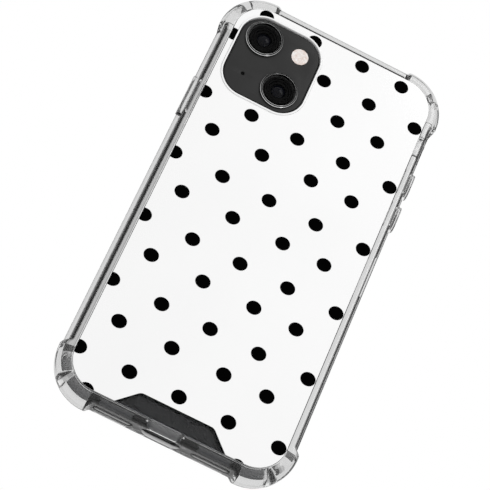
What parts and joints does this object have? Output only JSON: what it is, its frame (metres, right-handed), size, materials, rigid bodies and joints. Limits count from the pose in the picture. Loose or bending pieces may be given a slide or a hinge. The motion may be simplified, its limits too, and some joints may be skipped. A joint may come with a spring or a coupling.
{
  "type": "clear phone case with spotted back, fitted on a phone",
  "caption": "Clear shock-corner phone case with a white spotted back, fitted on a dark slab phone with a two-lens camera; it lifts off and its buttons press.",
  "frame": {"origin": "centre of the case's front rim, on the surface that the case lies on face down", "axes": "+Z out of the case's printed back, +Y towards the camera end, +X towards the volume buttons"},
  "size_m": [0.0808, 0.156, 0.0115],
  "materials": {
    "clear_soft": "clear, glossy, soft",
    "clear_hard": "clear, glossy, hard",
    "white_print": "white print under gloss",
    "black_ink": "black ink under gloss",
    "dark_metal": "dark anodised, satin",
    "band_plastic": "satin",
    "dark_glass": "polished dark glass",
    "matte_island": "frosted dark glass",
    "lens_metal": "polished dark metal",
    "lens_glass": "coated lens glass",
    "black_plastic": "matte black",
    "flash_diffuser": "milky lens",
    "led_phosphor": "phosphor",
    "panel": "dark display",
    "bare_metal": "brushed",
    "battery_wrap": "black wrap",
    "board": "solder mask",
    "copper": "bare copper",
    "gold": "plated",
    "card_plastic": "plain card"
  },
  "bodies": {
    "phone": {"phone_frame": "dark_metal", "antenna_bands": "band_plastic", "back_glass": "dark_glass", "camera_island": "matte_island", "lens_ring_wide": "lens_metal", "lens_ring_ultrawide": "lens_metal", "lens_cover_wide": "lens_glass", "lens_cover_ultrawide": "lens_glass", "lens_barrel_wide": "black_plastic", "lens_barrel_ultrawide": "black_plastic", "lens_element_wide": "lens_glass", "lens_element_ultrawide": "lens_glass", "flash_lens": "flash_diffuser", "flash_leds": "led_phosphor", "rear_mic_mesh": "black_plastic", "camera_module": "black_plastic", "display_glass": "dark_glass", "display_panel": "panel", "earpiece_grille": "black_plastic", "front_camera": "black_plastic", "midplate": "bare_metal", "battery": "battery_wrap", "logic_board": "board", "shield_cans": "bare_metal", "charging_coil": "copper", "magnet_ring": "bare_metal", "speaker_module": "black_plastic", "haptic_motor": "bare_metal", "charge_socket": "bare_metal", "socket_contacts": "gold", "bottom_screws": "bare_metal", "sim_tray": "dark_metal", "sim_card": "card_plastic", "dome_switches": "bare_metal"},
    "case": {"case_frame": "clear_soft", "front_lip": "clear_soft", "back_plate": "clear_hard", "camera_rim": "white_print", "print_film": "white_print", "print_spots": "black_ink"},
    "power_pad": {"power_pad": "clear_soft"},
    "volume_up_pad": {"volume_up_pad": "clear_soft"},
    "volume_down_pad": {"volume_down_pad": "clear_soft"},
    "side_button": {"side_button": "dark_metal"},
    "volume_up_button": {"volume_up_button": "dark_metal"},
    "volume_down_button": {"volume_down_button": "dark_metal"},
    "ring_switch": {"ring_switch": "dark_metal"}
  },
  "joints": [
    {"name": "case_off", "type": "slide", "parent": "phone", "child": "case", "axis": [0, 0, 1], "range_m": [0, 0.03], "deforming": ["front_lip"]},
    {"name": "power_pad_press", "type": "slide", "parent": "case", "child": "power_pad", "axis": [1, 0, 0], "range_m": [0, 0.00025], "stiffness_N_per_m": 600},
    {"name": "volume_up_pad_press", "type": "slide", "parent": "case", "child": "volume_up_pad", "axis": [-1, 0, 0], "range_m": [0, 0.00025], "stiffness_N_per_m": 600},
    {"name": "volume_down_pad_press", "type": "slide", "parent": "case", "child": "volume_down_pad", "axis": [-1, 0, 0], "range_m": [0, 0.00025], "stiffness_N_per_m": 600},
    {"name": "side_button_press", "type": "slide", "parent": "phone", "child": "side_button", "axis": [1, 0, 0], "range_m": [0, 0.00025], "stiffness_N_per_m": 800},
    {"name": "volume_up_button_press", "type": "slide", "parent": "phone", "child": "volume_up_button", "axis": [-1, 0, 0], "range_m": [0, 0.00025], "stiffness_N_per_m": 800},
    {"name": "volume_down_button_press", "type": "slide", "parent": "phone", "child": "volume_down_button", "axis": [-1, 0, 0], "range_m": [0, 0.00025], "stiffness_N_per_m": 800},
    {"name": "ring_switch_slide", "type": "slide", "parent": "phone", "child": "ring_switch", "axis": [0, 0, 1], "range_m": [0, 0.0013]}
  ],
  "couplings": [
    {"joint": "side_button_press", "follows": "power_pad_press", "ratio": 1},
    {"joint": "volume_up_button_press", "follows": "volume_up_pad_press", "ratio": 1},
    {"joint": "volume_down_button_press", "follows": "volume_down_pad_press", "ratio": 1}
  ]
}
